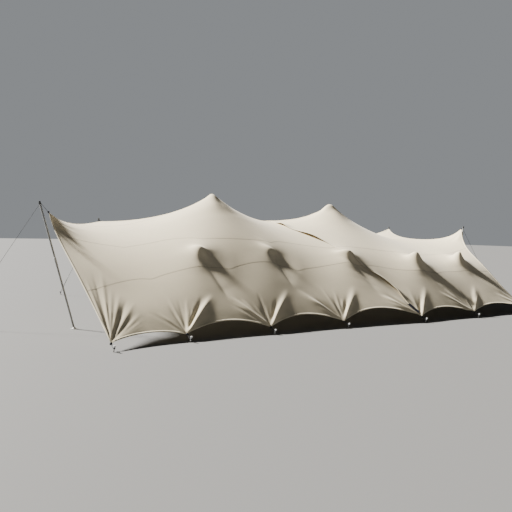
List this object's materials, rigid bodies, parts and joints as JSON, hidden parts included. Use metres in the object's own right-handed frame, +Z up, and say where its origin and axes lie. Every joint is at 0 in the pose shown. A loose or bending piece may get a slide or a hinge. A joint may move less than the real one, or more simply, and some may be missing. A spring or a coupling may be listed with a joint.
{
  "type": "stretch tent",
  "caption": "Stretch tent of two lapped fabric sheets over king and inner poles, staked down along the front and open at the back.",
  "frame": {"origin": "centre of the ground rectangle that the tent and its stakes cover", "axes": "+X along the staked front hem, +Y from the front to the raised back, +Z up"},
  "size_m": [23.18, 12.7738, 4.424],
  "materials": {
    "fabric": "matte stone-coloured stretch knit",
    "pole": "dull mill-finish tube",
    "webbing": "dark woven webbing",
    "rope": "dark braided rope",
    "stake": "galvanised steel"
  },
  "bodies": {
    "root": {"back_1_guy": "rope", "back_1_guy_stake": "stake", "back_2_guy": "rope", "back_2_guy_stake": "stake", "back_3_guy": "rope", "back_3_guy_stake": "stake", "back_4_guy": "rope", "back_4_guy_stake": "stake", "back_5_guy": "rope", "back_5_guy_stake": "stake", "back_pole_1": "pole", "back_pole_2": "pole", "back_pole_3": "pole", "back_pole_4": "pole", "back_pole_5": "pole", "front_stake_1": "stake", "front_stake_2": "stake", "front_stake_3": "stake", "front_stake_4": "stake", "front_stake_5": "stake", "front_stake_6": "stake", "front_stake_7": "stake", "front_tie_1": "webbing", "front_tie_2": "webbing", "front_tie_3": "webbing", "front_tie_4": "webbing", "front_tie_5": "webbing", "front_tie_6": "webbing", "front_tie_7": "webbing", "inner_pole_1": "pole", "inner_pole_2": "pole", "inner_pole_3": "pole", "inner_pole_4": "pole", "inner_pole_5": "pole", "joint_strap": "webbing", "king_pole_1": "pole", "king_pole_2": "pole", "left_end_pole": "pole", "left_guy": "rope", "left_guy_stake": "stake", "left_sheet": "fabric", "right_end_pole": "pole", "right_guy": "rope", "right_guy_stake": "stake", "right_sheet": "fabric"}
  },
  "joints": []
}
